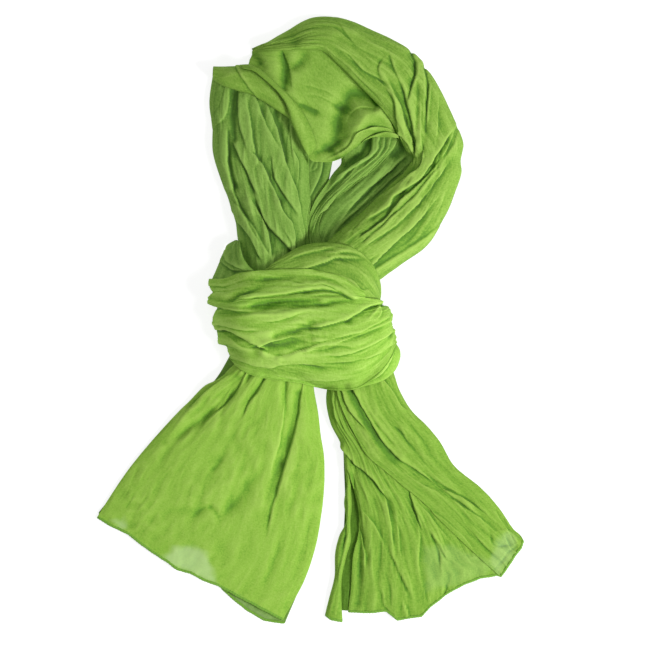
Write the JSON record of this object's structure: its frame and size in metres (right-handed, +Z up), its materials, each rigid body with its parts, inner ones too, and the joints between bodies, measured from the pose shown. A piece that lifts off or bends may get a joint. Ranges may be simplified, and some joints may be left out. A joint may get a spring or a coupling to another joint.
{
  "type": "knotted scarf",
  "caption": "Long sheer scarf wound into a loose knot and laid flat: a pleated loop above the knot and two spread tails with narrow rolled hems below it.",
  "frame": {"origin": "on the surface the scarf lies on, under the middle of its bounding box", "axes": "+Y from the tails over the knot to the loop, +X to the right seen from above, +Z up from the surface"},
  "size_m": [0.4694, 0.6685, 0.0704],
  "materials": {
    "voile": "matte, sheer plain weave",
    "voile_hem": "matte rolled hem",
    "voile_inside": "matte, hidden turns"
  },
  "bodies": {
    "root": {"core_knot": "voile_inside", "core_left": "voile_inside", "core_right": "voile_inside", "core_tail_left": "voile_inside", "knot_end": "voile", "knot_left": "voile", "knot_lower": "voile", "knot_right": "voile", "knot_upper": "voile", "loop_centre": "voile", "loop_inner": "voile", "loop_left": "voile", "loop_left_fold": "voile", "loop_left_hem": "voile", "loop_outer": "voile", "loop_right_deep": "voile", "loop_right_inner": "voile", "tail_left_back": "voile", "tail_left_back_hem": "voile_hem", "tail_left_front": "voile", "tail_left_front_hem": "voile_hem", "tail_right_back": "voile", "tail_right_back_hem": "voile_hem", "tail_right_deep": "voile", "tail_right_edge": "voile", "tail_right_edge_hem": "voile_hem", "tail_right_front": "voile", "tail_right_front_hem": "voile_hem"}
  },
  "joints": []
}
